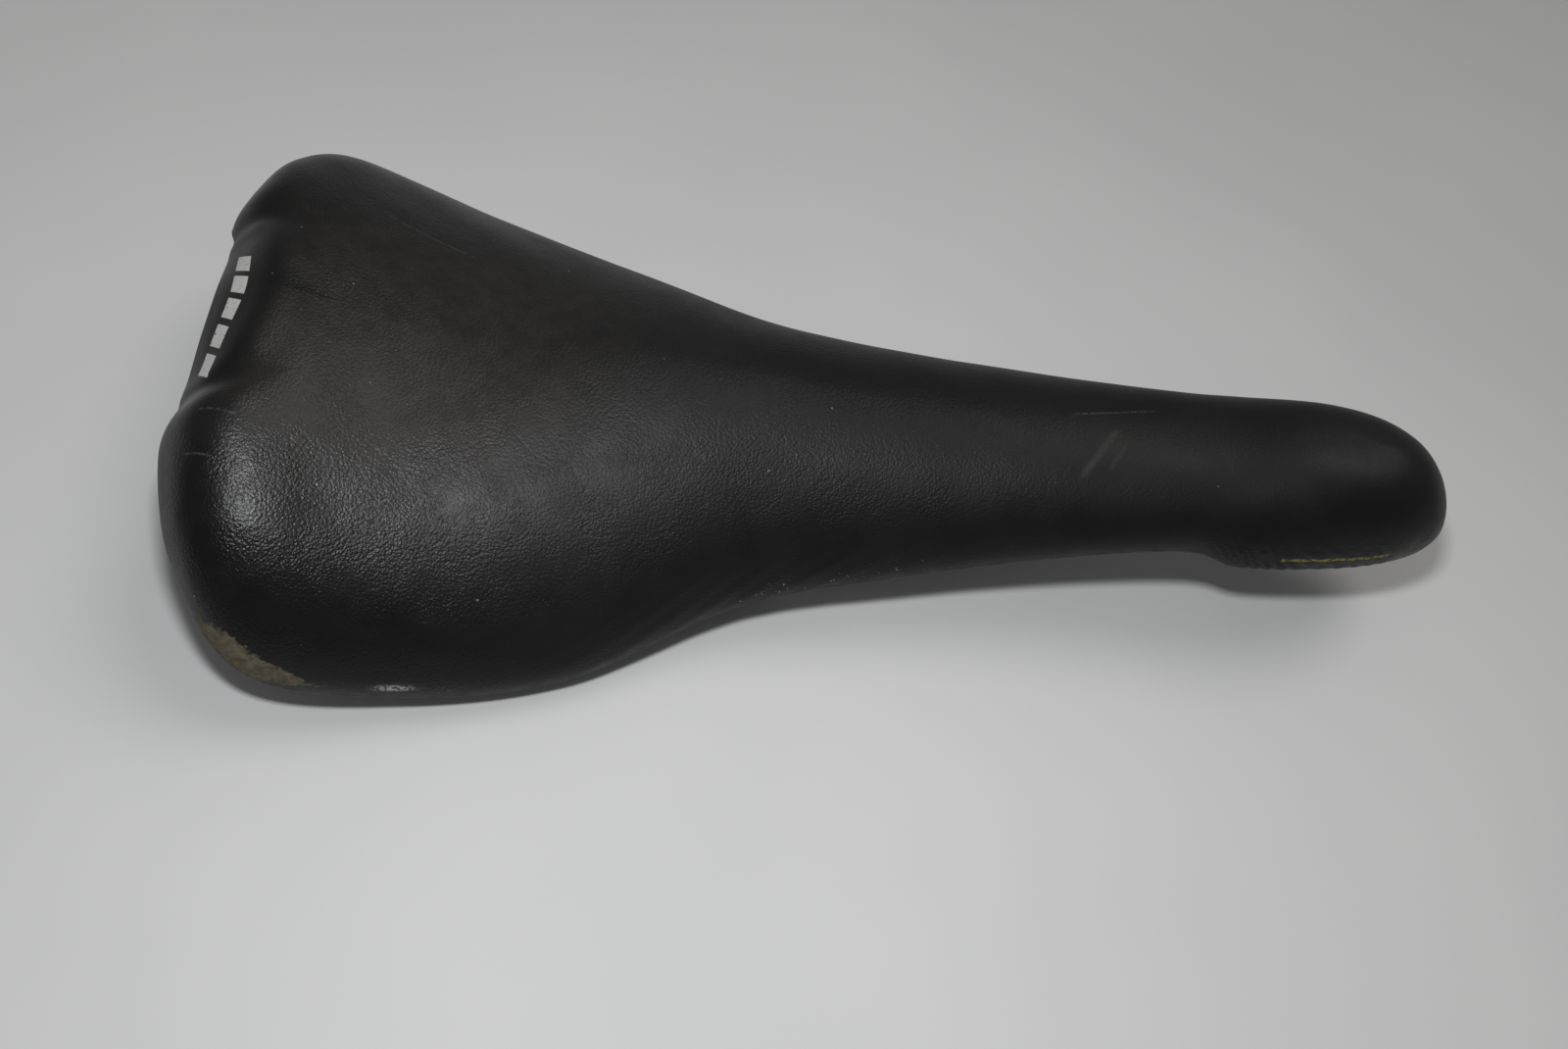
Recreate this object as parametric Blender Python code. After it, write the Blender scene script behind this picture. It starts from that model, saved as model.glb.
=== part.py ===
"""Racing bicycle saddle: leather cover, foam pad, nylon shell, two 7 mm rails and their fittings.

The tables below are in millimetres in the saddle's own frame: x runs from the tail (0) to the
nose (288), y to the rider's left, z up from the middle of the ridge. place() turns them into
world metres, standing on the rails.
"""

import math

import bmesh
import bpy
import numpy as np
from mathutils import Matrix

# Overall
LENGTH = 288.4  # from the back of the unrecessed tail to the tip of the nose
MIDDLE_X = 148.85  # halfway between the furthest points of tail and nose
RIDGE_HEIGHT = 47.0  # middle of the ridge above the underside of the rails

# The rim, station by station from the centre of the tail to the tip of the nose
RIM_X = [0, 0, 7, 14.4, 30.9, 61.8, 94.8, 128.8, 162.7, 195.7, 224.5, 239, 265.7, 282.2, 288.4]
RIM_Y = [0, 17.9, 27.6, 50.7, 67.5, 65.2, 56, 37.8, 29.5, 23.8, 20.5, 21.2, 17.9, 11.2, 0]
RIM_Z = [-1.5, -5.7, -8, -18.5, -30.9, -38.3, -39.8, -33, -27.5, -21.7, -18.1, -20.5, -19.5, -19.3, -23.9]
# Where each station's ray leaves the ridge line, and how full the section is (2 is an ellipse)
SPINE_X = [39.1, 39.7, 41.2, 45.3, 55.6, 72.1, 97.9, 129.8, 162.7, 194.7, 221.5, 234.8, 254.4, 261.6, 263.7]
FULLNESS = [4.2, 4.2, 4.1, 2.9, 2.0, 1.8, 1.6, 1.7, 1.8, 2.0, 2.3, 2.3, 2.6, 2.3, 2.4]
# Height of the ridge line along the saddle
RIDGE_X = [0, 25.8, 61.8, 103, 144.2, 185.4, 226.6, 257.5, 278.1, 288.4]
RIDGE_Z = [19.6, 9.3, 1, 1.5, -1.6, -2.3, -1.6, 2.3, 0, -4.6]

# The recessed panel between the two rear lobes
RECESS_DEPTH = 12.4
RECESS_HALF = 24.0
RECESS_EDGE = 2.6
TAIL_SLANT = 12.4  # how far the top edge of the tail lies forward of its rim

# Layers
LEATHER = 1.3
GAP = 0.4
HEM_LEATHER = 1.2
TURN_DEPTH = 2.4  # how far the folded edge drops below the shell
HEM_STEPS = [10.5, 7.0, 3.5, 0.0]  # distances up from the rim
CROWN_STEPS = 10
FOAM = [5.0, 5.0, 5.0, 5.0, 5.0, 4.8, 4.4, 3.8, 2.9, 1.8, 0.8]
FOAM_SHARE_X = [0, 60, 130, 200, 280]
FOAM_SHARE = [0.9, 1.0, 0.8, 0.6, 0.6]
SHELL = 2.7
RAYS_PER_STATION = 3

# Rails
RAIL_RADIUS = 3.5
RAIL_SIDES = 16
RAIL_SPREAD = 44.0
SEAT_GAP = 0.3  # between a rail and the socket that holds it
RAIL_Z = -RIDGE_HEIGHT + RAIL_RADIUS * math.cos(math.pi / RAIL_SIDES)
RAIL_POINTS = [  # corners of the left rail's middle line, from socket to nose block
    (31.0, 37.0, -16.0),
    (78.0, RAIL_SPREAD / 2, RAIL_Z),
    (138.0, RAIL_SPREAD / 2, RAIL_Z),
    (232.0, 6.2, -18.5),
    (257.0, 5.2, -15.5),
]
RAIL_BENDS = [22.0, 30.0, 24.0]  # bend radius at each inner corner

# Fittings: x range, y range (left side), underside z
SOCKET = ((28.0, 53.0), (28.0, 49.0), -25.5)
NOSE_BLOCK = ((239.0, 260.0), (-10.4, 10.4), -22.0)
NOSE_SCREW = (250.0, 0.0)
SOCKET_SCREW = (36.0, 43.0)
WASHER_THICK = 0.8
WASHER_HOLE = 2.0
STAPLE_RAYS = [2.67, 3.67, 5.0, 6.0, 7.0, 8.0, 9.33, 10.67]
STAPLE_SIZE = (7.0, 0.8, 0.5)

STATIONS = len(RIM_X)


def place(points):
    """Millimetres in the saddle's frame to world metres."""
    points = np.asarray(points, float)
    return (points + (-MIDDLE_X, 0.0, RIDGE_HEIGHT)) / 1000.0


# ---------------------------------------------------------------- skin

def curve(xs, ys, x, ends=None):
    """A smooth curve through (xs, ys), read at x."""
    xs = np.asarray(xs, float)
    ys = np.asarray(ys, float)
    step = np.diff(xs)
    rise = np.diff(ys) / step
    slope = np.empty(len(ys))
    slope[1:-1] = (rise[:-1] * step[1:] + rise[1:] * step[:-1]) / (step[1:] + step[:-1])
    slope[0], slope[-1] = (rise[0], rise[-1]) if ends is None else ends
    i = np.clip(np.searchsorted(xs, x) - 1, 0, len(xs) - 2)
    h = xs[i + 1] - xs[i]
    u = (x - xs[i]) / h
    first = (1 + 2 * u) * (1 - u) ** 2 * ys[i] + u * (1 - u) ** 2 * h * slope[i]
    second = u * u * (3 - 2 * u) * ys[i + 1] + u * u * (u - 1) * h * slope[i + 1]
    return first + second


def sigmoid(v):
    """A smooth step from 0 to 1."""
    return 1 / (1 + np.exp(np.clip(-v, -40, 40)))


def recess(ray, y):
    """How far the panel between the rear lobes is set forward."""
    across = sigmoid((RECESS_HALF - np.abs(y)) / RECESS_EDGE)
    return RECESS_DEPTH * across * sigmoid((3.4 - ray) / 0.3)


def ridge(x):
    """Height of the ridge line."""
    return curve(RIDGE_X, RIDGE_Z, np.clip(x, 0, LENGTH))


def skin(ray, phi):
    """Points of the left half: ray is 0 (tail) to 14 (nose), phi is 0 (ridge) to pi/2 (rim)."""
    stations = np.arange(STATIONS)
    rim_x = curve(stations, RIM_X, ray, (0, 0))
    rim_y = curve(stations, RIM_Y, ray) * ((ray > 0) & (ray < STATIONS - 1))
    rim_z = curve(stations, RIM_Z, ray, (0, 0))
    start = curve(stations, SPINE_X, ray, (0, 0))
    power = 2 / curve(stations, FULLNESS, ray, (0, 0))
    out = np.clip(np.sin(phi), 0, 1) ** power
    up = np.where(phi > math.pi / 2 - 1e-9, 0.0, np.clip(np.cos(phi), 0, 1)) ** power
    y = rim_y * out
    slant = TAIL_SLANT * sigmoid((3.4 - ray) / 0.5)
    x = start + (rim_x - start) * out + recess(ray, y) * out + slant * up * out ** 2
    rim_end = rim_x + recess(ray, rim_y)
    z = ridge(x) - (ridge(rim_end) - rim_z) * (1 - up)
    return np.stack([x, y, z], -1)


def sampled():
    """The skin on a grid of rays, each with even steps down the crown and fixed steps at the hem."""
    rays = np.linspace(0, STATIONS - 1, (STATIONS - 1) * RAYS_PER_STATION + 1)
    dense = np.linspace(0, math.pi / 2, 241)
    rows = []
    for ray in rays:
        line = skin(np.full(dense.shape, ray), dense)
        run = np.concatenate([[0], np.cumsum(np.linalg.norm(np.diff(line, axis=0), axis=1))])
        left = run[-1] - run
        hem = [np.interp(-d, -left, dense) for d in HEM_STEPS]
        crown = np.linspace(0, 1, CROWN_STEPS + 1)[:-1] ** 0.85 * hem[0]
        phi = np.concatenate([crown, hem])
        rows.append(skin(np.full(phi.shape, ray), phi))
    return rays, np.array(rows)


def mirrored(points):
    return points * (1, -1, 1)


def inward(grid):
    """Unit normals of the grid that point into the saddle, smoothed so that inner layers stay clean."""
    along = np.empty_like(grid)
    along[1:-1] = grid[2:] - grid[:-2]
    along[0] = grid[1] - mirrored(grid[1])
    along[-1] = mirrored(grid[-2]) - grid[-2]
    down = np.empty_like(grid)
    down[:, 1:-1] = grid[:, 2:] - grid[:, :-2]
    down[:, 0] = grid[:, 1] - mirrored(grid[:, 1])
    down[:, -1] = grid[:, -1] - grid[:, -2]
    normal = np.cross(down, along)
    x = grid[:, 0, 0]
    slope = (ridge(x + 0.5) - ridge(x - 0.5)) / 1.0
    normal[:, 0] = np.stack([slope, 0 * x, -np.ones(len(x))], -1)
    normal[:, -1, 2] = 0
    normal /= np.linalg.norm(normal, axis=-1, keepdims=True)
    for _ in range(4):
        before = np.concatenate([mirrored(normal[1:2]), normal[:-1]])
        after = np.concatenate([normal[1:], mirrored(normal[-2:-1])])
        wider = np.concatenate([mirrored(normal[:, 1:2]), normal[:, :-1]], axis=1)
        lower = np.concatenate([normal[:, 1:], normal[:, -1:]], axis=1)
        normal = normal * 2 + before + after + wider + lower
        normal[0, :, 1] = 0
        normal[-1, :, 1] = 0
        normal[:, 0, 1] = 0
        normal[:, -1, 2] = 0
        normal /= np.linalg.norm(normal, axis=-1, keepdims=True)
    return normal


RAYS, GRID = sampled()
INWARD = inward(GRID)
LAST = GRID.shape[1] - 1
FOAM_END = CROWN_STEPS

share = curve(FOAM_SHARE_X, FOAM_SHARE, np.clip(GRID[:, :, 0], 0, LENGTH))
FOAM_THICK = np.zeros(GRID.shape[:2])
FOAM_THICK[:, : FOAM_END + 1] = np.maximum(np.array(FOAM) * share[:, : FOAM_END + 1], 0.8)
SKIN_DEPTH = LEATHER + GAP
SHELL_OUT = SKIN_DEPTH + FOAM_THICK
SHELL_OUT[:, : FOAM_END + 1] += GAP + 0.15
SHELL_OUT[:, FOAM_END + 1] += 0.5
SHELL_IN = SHELL_OUT + SHELL
HEM_IN = SHELL_IN + GAP
HEM_OUT = HEM_IN + HEM_LEATHER


def layer(depth, columns):
    """Points at a depth under the skin, for the given columns of the grid."""
    depth = np.broadcast_to(depth, GRID.shape[:2])
    return (GRID + INWARD * depth[..., None])[:, columns]


def turn(outer, inner, drop, steps):
    """The folded edge, from one depth to another round the bottom of the shell."""
    rim = GRID[:, LAST]
    way = INWARD[:, LAST]
    middle = (outer + inner) / 2
    half = (inner - outer) / 2
    columns = []
    for step in range(1, steps):
        angle = math.pi * step / steps
        depth = middle - half * math.cos(angle)
        point = rim + way * depth[:, None]
        point[:, 2] -= drop * math.sin(angle)
        columns.append(point)
    return np.stack(columns, 1)


# ---------------------------------------------------------------- mesh helpers

def material(name, colour, rough, metal=0.0):
    """A plain Principled material."""
    made = bpy.data.materials.new(name)
    made.use_nodes = True
    shader = made.node_tree.nodes["Principled BSDF"]
    shader.inputs["Base Color"].default_value = (*colour, 1)
    shader.inputs["Roughness"].default_value = rough
    shader.inputs["Metallic"].default_value = metal
    return made


def add(name, mesh_bm, made):
    """An object from a bmesh, its faces turned outward."""
    mesh = bpy.data.meshes.new(name)
    bmesh.ops.recalc_face_normals(mesh_bm, faces=mesh_bm.faces)
    if mesh_bm.calc_volume(signed=True) < 0:
        bmesh.ops.reverse_faces(mesh_bm, faces=mesh_bm.faces)
    mesh_bm.to_mesh(mesh)
    mesh_bm.free()
    mesh.materials.append(made)
    obj = bpy.data.objects.new(name, mesh)
    bpy.context.scene.collection.objects.link(obj)
    return obj


def swept(name, profile, made):
    """A closed body from the left half's profiles, mirrored across the middle of the saddle."""
    mesh_bm = bmesh.new()
    halves = [place(profile), place(mirrored(profile))]
    for side, points in enumerate(halves):
        rows = [[mesh_bm.verts.new(p) for p in row] for row in points]
        for a, b in zip(rows[:-1], rows[1:]):
            for i in range(len(a) - 1):
                quad = (a[i], a[i + 1], b[i + 1], b[i])
                mesh_bm.faces.new(quad if side == 0 else quad[::-1])
    bmesh.ops.remove_doubles(mesh_bm, verts=mesh_bm.verts, dist=1e-6)
    return add(name, mesh_bm, made)


def tube(name, path, radius, sides, made):
    """A round rod along a path, with one flat side facing down."""
    path = np.asarray(path, float)
    ahead = np.gradient(path, axis=0)
    ahead /= np.linalg.norm(ahead, axis=1, keepdims=True)
    side = np.cross(ahead, (0, 0, 1.0))
    side /= np.linalg.norm(side, axis=1, keepdims=True)
    upward = np.cross(side, ahead)
    mesh_bm = bmesh.new()
    rings = []
    for centre, s, u in zip(path, side, upward):
        angles = (np.arange(sides) + 0.5) * 2 * math.pi / sides + math.pi / 2
        ring = centre + radius * (np.cos(angles)[:, None] * s + np.sin(angles)[:, None] * u)
        rings.append([mesh_bm.verts.new(p) for p in place(ring)])
    for a, b in zip(rings[:-1], rings[1:]):
        for i in range(sides):
            j = (i + 1) % sides
            mesh_bm.faces.new((a[i], a[j], b[j], b[i]))
    mesh_bm.faces.new(rings[0][::-1])
    mesh_bm.faces.new(rings[-1])
    return add(name, mesh_bm, made)


def turned(name, profile, centre, sides, made):
    """A solid of revolution about a vertical line: profile is (radius, z) from axis to axis."""
    mesh_bm = bmesh.new()
    rings = []
    for radius, z in profile:
        if radius == 0:
            rings.append([mesh_bm.verts.new(place(np.add(centre, (0, 0, z))))])
            continue
        ring = []
        for i in range(sides):
            angle = 2 * math.pi * i / sides
            offset = (radius * math.cos(angle), radius * math.sin(angle), z)
            ring.append(mesh_bm.verts.new(place(np.add(centre, offset))))
        rings.append(ring)
    closed = len(rings[0]) > 1
    pairs = list(zip(rings[:-1], rings[1:]))
    if closed:
        pairs.append((rings[-1], rings[0]))
    for a, b in pairs:
        for i in range(sides):
            j = (i + 1) % sides
            corners = [a[i % len(a)], a[j % len(a)], b[j % len(b)], b[i % len(b)]]
            mesh_bm.faces.new(list(dict.fromkeys(corners)))
    return add(name, mesh_bm, made)


def filleted(points, bends, spacing=3.0):
    """A path of straight runs joined by arcs."""
    points = [np.array(p, float) for p in points]
    path = [points[0]]
    for before, corner, after, bend in zip(points, points[1:], points[2:], bends):
        a = (before - corner) / np.linalg.norm(before - corner)
        b = (after - corner) / np.linalg.norm(after - corner)
        half = math.acos(float(np.clip(a @ b, -1, 1))) / 2
        reach = bend / math.tan(half)
        centre = corner + (a + b) / np.linalg.norm(a + b) * bend / math.sin(half)
        first = corner + a * reach - centre
        last = corner + b * reach - centre
        sweep = math.pi - 2 * half
        steps = max(4, int(bend * sweep / spacing))
        for i in range(steps + 1):
            u = sweep * i / steps
            path.append(centre + (first * math.sin(sweep - u) + last * math.sin(u)) / math.sin(sweep))
    path.append(points[-1])
    return np.array(path)


def cut(body, cutters):
    """Takes cutters away from a body."""
    for cutter in cutters:
        cutter.hide_render = True
        cutter.display_type = "WIRE"
        step = body.modifiers.new("Cut " + cutter.name, "BOOLEAN")
        step.operation = "DIFFERENCE"
        step.solver = "EXACT"
        step.object = cutter


# ---------------------------------------------------------------- the underside of the shell

def underside():
    """Triangles of the inner face of the shell, both halves, as (n, 3, 3)."""
    inner = layer(SHELL_IN, slice(None))
    quads = [inner[:-1, :-1], inner[1:, :-1], inner[1:, 1:], inner[:-1, 1:]]
    a, b, c, d = [q.reshape(-1, 3) for q in quads]
    left = np.concatenate([np.stack([a, b, c], 1), np.stack([a, c, d], 1)])
    return np.concatenate([left, mirrored(left)])


UNDER = underside()


def under(x, y):
    """Height of the shell's inner face over a point."""
    a, b, c = UNDER[:, 0], UNDER[:, 1], UNDER[:, 2]
    area = (b[:, 0] - a[:, 0]) * (c[:, 1] - a[:, 1]) - (b[:, 1] - a[:, 1]) * (c[:, 0] - a[:, 0])
    safe = np.where(np.abs(area) < 1e-9, 1.0, area)
    v = ((x - a[:, 0]) * (c[:, 1] - a[:, 1]) - (y - a[:, 1]) * (c[:, 0] - a[:, 0])) / safe
    w = ((b[:, 0] - a[:, 0]) * (y - a[:, 1]) - (b[:, 1] - a[:, 1]) * (x - a[:, 0])) / safe
    inside = (np.abs(area) > 1e-9) & (v >= -1e-6) & (w >= -1e-6) & (v + w <= 1 + 1e-6)
    z = a[:, 2] + v * (b[:, 2] - a[:, 2]) + w * (c[:, 2] - a[:, 2])
    return float(z[inside].min())


def fitted_block(name, x_range, y_range, bottom, made, chamfer=2.5):
    """A block whose top follows the shell's inner face, with chamfered lower edges."""
    xs = np.linspace(*x_range, 9)
    ys = np.linspace(*y_range, 7)
    top = np.array([[(x, y, under(x, y) - GAP - 0.25) for y in ys] for x in xs])
    mid = top.copy()
    mid[..., 2] = bottom + chamfer
    low = top.copy()
    low[..., 0] = np.clip(low[..., 0], x_range[0] + chamfer, x_range[1] - chamfer)
    low[..., 1] = np.clip(low[..., 1], y_range[0] + chamfer, y_range[1] - chamfer)
    low[..., 2] = bottom
    mesh_bm = bmesh.new()
    levels = [[[mesh_bm.verts.new(p) for p in row] for row in place(level)] for level in (top, mid, low)]
    rows, columns = len(xs), len(ys)
    for level, flip in ((levels[0], False), (levels[2], True)):
        for i in range(rows - 1):
            for j in range(columns - 1):
                quad = (level[i][j], level[i + 1][j], level[i + 1][j + 1], level[i][j + 1])
                mesh_bm.faces.new(quad[::-1] if flip else quad)
    edge = [(i, 0) for i in range(rows)]
    edge += [(rows - 1, j) for j in range(1, columns)]
    edge += [(i, columns - 1) for i in range(rows - 2, -1, -1)]
    edge += [(0, j) for j in range(columns - 2, 0, -1)]
    for upper, lower in zip(levels[:-1], levels[1:]):
        for (i, j), (k, m) in zip(edge, edge[1:] + edge[:1]):
            mesh_bm.faces.new((upper[i][j], lower[i][j], lower[k][m], upper[k][m]))
    bmesh.ops.dissolve_degenerate(mesh_bm, edges=mesh_bm.edges, dist=1e-7)
    return add(name, mesh_bm, made)


def screw_and_washer(label, spot, face_z, radius, shank):
    """A pan-head socket screw and its washer, pointing up into a face; returns the cutter for its hole."""
    rim = radius + 0.9
    ring = [(WASHER_HOLE, 0), (rim, 0), (rim, -WASHER_THICK), (WASHER_HOLE, -WASHER_THICK)]
    turned("Washer_" + label, ring, (*spot, face_z - GAP), 24, zinc)
    head_z = face_z - 2 * GAP - WASHER_THICK
    rise = face_z - head_z + shank
    profile = [(0, rise), (1.5, rise), (1.5, 0), (radius, 0), (radius, -1.5), (radius - 0.7, -2.3),
               (1.4, -2.3), (1.4, -0.9), (0, -0.9)]
    turned("Screw_" + label, profile, (*spot, head_z), 24, steel)
    hole = [(0, shank + GAP), (1.8, shank + GAP), (1.8, -5.0), (0, -5.0)]
    return turned("Screw_hole_" + label, hole, (*spot, face_z), 16, nylon)


def staple(name, ray, sign):
    """A wire staple lying along the hem, just inside its face."""
    row = int(round(ray * RAYS_PER_STATION))
    face = layer(HEM_OUT + GAP + 0.25, slice(None))
    spot = face[row, LAST - 2] * 0.5 + face[row, LAST - 1] * 0.5
    along = face[row + 1, LAST - 1] - face[row - 1, LAST - 1]
    along /= np.linalg.norm(along)
    inner = INWARD[row, LAST - 1] - along * (along @ INWARD[row, LAST - 1])
    inner /= np.linalg.norm(inner)
    across = np.cross(along, inner)
    length, width, thick = STAPLE_SIZE
    mesh_bm = bmesh.new()
    for a in (-0.5, 0.5):
        for b in (-0.5, 0.5):
            for c in (0, 1):
                point = spot + along * a * length + across * b * width + inner * c * thick
                mesh_bm.verts.new(place(point * (1, sign, 1)))
    bmesh.ops.convex_hull(mesh_bm, input=mesh_bm.verts)
    return add(name, mesh_bm, staple_wire)


def mirror_copy(left_name):
    """The right-hand twin of a finished left-hand piece."""
    left = bpy.data.objects[left_name]
    bpy.context.view_layer.update()
    made = left.evaluated_get(bpy.context.evaluated_depsgraph_get())
    mesh = bpy.data.meshes.new_from_object(made)
    mesh.transform(Matrix.Diagonal((1, -1, 1, 1)))
    mesh.flip_normals()
    twin = bpy.data.objects.new(left_name.replace("left", "right"), mesh)
    bpy.context.scene.collection.objects.link(twin)


def side_of(points, sign):
    """Points of the left half, or of the right half for a sign of -1."""
    return [(x, y * sign, z) for x, y, z in points]


# ---------------------------------------------------------------- build

for old in list(bpy.data.objects):
    bpy.data.objects.remove(old, do_unlink=True)

leather = material("Leather", (0.012, 0.012, 0.013), 0.45)
foam = material("Foam", (0.55, 0.47, 0.3), 0.95)
nylon = material("Nylon", (0.02, 0.02, 0.021), 0.5)
steel = material("Rail steel", (0.42, 0.42, 0.43), 0.28, 1.0)
zinc = material("Zinc", (0.5, 0.5, 0.49), 0.4, 1.0)
staple_wire = material("Staple wire", (0.45, 0.45, 0.45), 0.4, 1.0)

everything = slice(None)
crown = slice(0, FOAM_END + 1)
hem_up = slice(LAST, FOAM_END - 1, -1)
hem_down = slice(FOAM_END, LAST + 1)
back_up = slice(None, None, -1)

cover_profile = np.concatenate(
    [
        layer(0.0, everything),
        turn(np.zeros(len(RAYS)), HEM_OUT[:, LAST], TURN_DEPTH, 5),
        layer(HEM_OUT, hem_up),
        layer(HEM_IN, hem_down),
        turn(HEM_IN[:, LAST], np.full(len(RAYS), LEATHER), TURN_DEPTH - LEATHER, 4),
        layer(LEATHER, back_up),
    ],
    axis=1,
)
swept("Cover", cover_profile, leather)

foam_profile = np.concatenate(
    [layer(SKIN_DEPTH, crown), layer(SKIN_DEPTH + FOAM_THICK, slice(FOAM_END, None, -1))],
    axis=1,
)
swept("Foam_pad", foam_profile, foam)

shell_profile = np.concatenate(
    [layer(SHELL_OUT, everything), layer(SHELL_IN, back_up)],
    axis=1,
)
swept("Shell", shell_profile, nylon)

for label, sign in (("left", 1), ("right", -1)):
    path = filleted(side_of(RAIL_POINTS, sign), RAIL_BENDS)
    tube("Rail_" + label, path, RAIL_RADIUS, RAIL_SIDES, steel)

nose_block = fitted_block("Nose_block", *NOSE_BLOCK, nylon)
nose_cutters = []
for label, sign in (("left", 1), ("right", -1)):
    path = filleted(side_of(RAIL_POINTS, sign), RAIL_BENDS)
    ahead = (path[-1] - path[-2]) / np.linalg.norm(path[-1] - path[-2])
    hole = [*path[-12:-1], path[-1] + ahead * 0.5]
    nose_cutters.append(tube("Nose_hole_" + label, hole, RAIL_RADIUS + SEAT_GAP, RAIL_SIDES, nylon))
nose_cutters.append(screw_and_washer("nose", NOSE_SCREW, NOSE_BLOCK[2], 3.4, 1.4))
cut(nose_block, nose_cutters)

socket = fitted_block("Rear_socket_left", *SOCKET, nylon)
left_path = filleted(RAIL_POINTS, RAIL_BENDS)
beyond = left_path[0] + (left_path[0] - left_path[1]) * 0.1
socket_hole = tube("Socket_hole", [beyond, left_path[1]], RAIL_RADIUS + SEAT_GAP, RAIL_SIDES, nylon)
cut(socket, [socket_hole, screw_and_washer("rear_left", SOCKET_SCREW, SOCKET[2], 2.9, 7.0)])
for left_name in ("Rear_socket_left", "Screw_rear_left", "Washer_rear_left"):
    mirror_copy(left_name)

for label, sign in (("left", 1), ("right", -1)):
    for number, ray in enumerate(STAPLE_RAYS, 1):
        staple("Hem_staple_%s_%d" % (label, number), ray, sign)
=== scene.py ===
"""A worn black leather racing saddle on a pale table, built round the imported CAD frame.

Saddle coordinates are millimetres: x from tail to nose, y to the rider's left, z up from the
middle of the ridge. place() turns them into the frame's metres.
"""

import math

import bpy
import numpy as np
from mathutils import Matrix, Vector


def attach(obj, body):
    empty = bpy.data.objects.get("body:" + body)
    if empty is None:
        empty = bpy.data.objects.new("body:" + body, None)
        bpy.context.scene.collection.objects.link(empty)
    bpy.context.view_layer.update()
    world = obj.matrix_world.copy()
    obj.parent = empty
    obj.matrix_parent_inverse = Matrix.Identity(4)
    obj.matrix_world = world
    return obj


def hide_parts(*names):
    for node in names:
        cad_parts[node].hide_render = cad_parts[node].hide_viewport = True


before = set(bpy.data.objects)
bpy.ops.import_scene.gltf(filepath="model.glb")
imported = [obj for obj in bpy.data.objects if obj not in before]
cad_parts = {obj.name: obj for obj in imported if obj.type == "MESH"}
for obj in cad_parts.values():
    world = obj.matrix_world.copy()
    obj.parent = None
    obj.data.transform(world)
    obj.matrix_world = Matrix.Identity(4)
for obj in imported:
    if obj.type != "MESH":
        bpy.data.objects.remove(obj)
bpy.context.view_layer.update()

# ---------------------------------------------------------------- the saddle's form, as in the CAD

# Fifteen stations round the rim. Their numbers, like the ridge's, came from an optimiser that
# fitted outline and camera together, with some then set one by one, and they repeat the CAD's.
LENGTH = 288.4
MIDDLE_X = 148.85
RIDGE_HEIGHT = 47.0
RIM_X = [0, 0, 7, 14.4, 30.9, 61.8, 94.8, 128.8, 162.7, 195.7, 224.5, 239, 265.7, 282.2, 288.4]
RIM_Y = [0, 17.9, 27.6, 50.7, 67.5, 65.2, 56, 37.8, 29.5, 23.8, 20.5, 21.2, 17.9, 11.2, 0]
RIM_Z = [-1.5, -5.7, -8, -18.5, -30.9, -38.3, -39.8, -33, -27.5, -21.7, -18.1, -20.5, -19.5, -19.3, -23.9]
SPINE_X = [39.1, 39.7, 41.2, 45.3, 55.6, 72.1, 97.9, 129.8, 162.7, 194.7, 221.5, 234.8, 254.4, 261.6, 263.7]
FULLNESS = [4.2, 4.2, 4.1, 2.9, 2.0, 1.8, 1.6, 1.7, 1.8, 2.0, 2.3, 2.3, 2.6, 2.3, 2.4]
RIDGE_X = [0, 25.8, 61.8, 103, 144.2, 185.4, 226.6, 257.5, 278.1, 288.4]
RIDGE_Z = [19.6, 9.3, 1, 1.5, -1.6, -2.3, -1.6, 2.3, 0, -4.6]
RECESS_DEPTH = 12.4
RECESS_HALF = 24.0
RECESS_EDGE = 2.6
TAIL_SLANT = 12.4
STATIONS = len(RIM_X)

LEATHER = 1.3
GAP = 0.4
HEM_LEATHER = 1.2
TURN_DEPTH = 2.4
SHELL = 2.7
HEM_STEPS = [10.5, 7.0, 3.5, 0.0]
CROWN_STEPS = 10
COARSE_RAYS = 3
FOAM = [5, 5, 5, 5, 5, 4.8, 4.4, 3.8, 2.9, 1.8, 0.8]
FOAM_SHARE_X = [0, 60, 130, 200, 280]
FOAM_SHARE = [0.9, 1.0, 0.8, 0.6, 0.6]

# finer sampling for the visual pieces
RAYS_PER_STATION = 26
CROWN_COLUMNS = 84
HEM_COLUMNS = 14
TURN_COLUMNS = 14


def place(points):
    return (np.asarray(points, float) + (-MIDDLE_X, 0.0, RIDGE_HEIGHT)) / 1000.0


def curve(xs, ys, x, ends=None):
    """A smooth line through points that are not evenly spaced."""
    xs = np.asarray(xs, float)
    ys = np.asarray(ys, float)
    step = np.diff(xs)
    rise = np.diff(ys) / step
    slope = np.empty(len(ys))
    slope[1:-1] = (rise[:-1] * step[1:] + rise[1:] * step[:-1]) / (step[1:] + step[:-1])
    slope[0], slope[-1] = (rise[0], rise[-1]) if ends is None else ends
    i = np.clip(np.searchsorted(xs, x) - 1, 0, len(xs) - 2)
    h = xs[i + 1] - xs[i]
    u = (x - xs[i]) / h
    first = (1 + 2 * u) * (1 - u) ** 2 * ys[i] + u * (1 - u) ** 2 * h * slope[i]
    second = u * u * (3 - 2 * u) * ys[i + 1] + u * u * (u - 1) * h * slope[i + 1]
    return first + second


def sigmoid(v):
    return 1 / (1 + np.exp(np.clip(-v, -40, 40)))


def bump_at(v, middle, width):
    return np.exp(-(((v - middle) / width) ** 2))


def between(v, low, high, soft):
    return sigmoid((v - low) / soft) * sigmoid((high - v) / soft)


def recess(ray, y):
    return RECESS_DEPTH * sigmoid((RECESS_HALF - np.abs(y)) / RECESS_EDGE) * sigmoid((3.4 - ray) / 0.3)


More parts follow.
